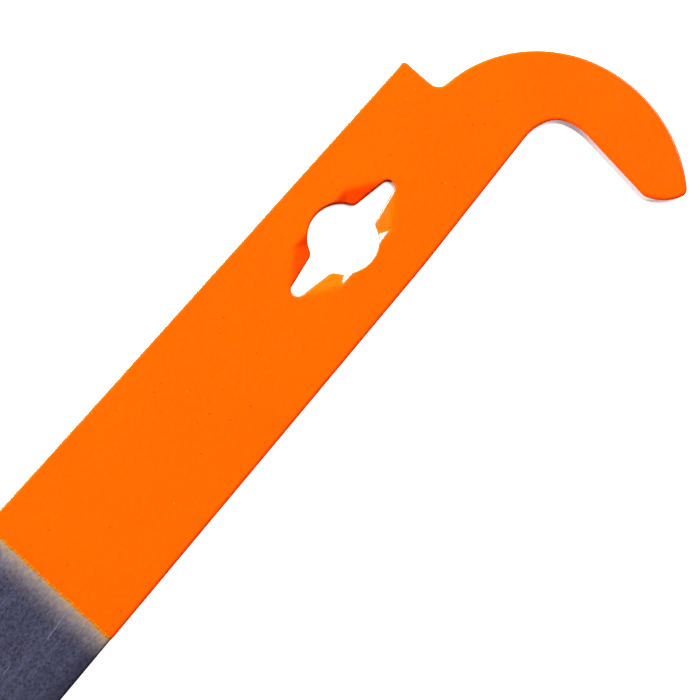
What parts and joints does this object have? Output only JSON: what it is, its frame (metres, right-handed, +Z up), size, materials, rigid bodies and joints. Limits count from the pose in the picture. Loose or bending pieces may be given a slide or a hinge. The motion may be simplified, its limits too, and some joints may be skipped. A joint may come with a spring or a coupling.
{
  "type": "pry bar",
  "caption": "Flat one-piece steel pry bar with a frame-lifting J hook, a square shoulder, a keyhole nail puller with bevelled slots and a scraper blade, enamelled at the hook end",
  "frame": {"origin": "centre of the bounding box in the plane of the bar, at the underside it lies on", "axes": "+X along the bar towards the hook, +Y from the hook's tip towards the straight back edge, +Z up through the thickness"},
  "size_m": [0.265, 0.0732, 0.0033],
  "materials": {
    "bare_steel": "ground lengthwise, satin",
    "orange_enamel": "thick glossy enamel"
  },
  "bodies": {
    "root": {"steel_bar": "bare_steel", "paint_coat": "orange_enamel"}
  },
  "joints": []
}
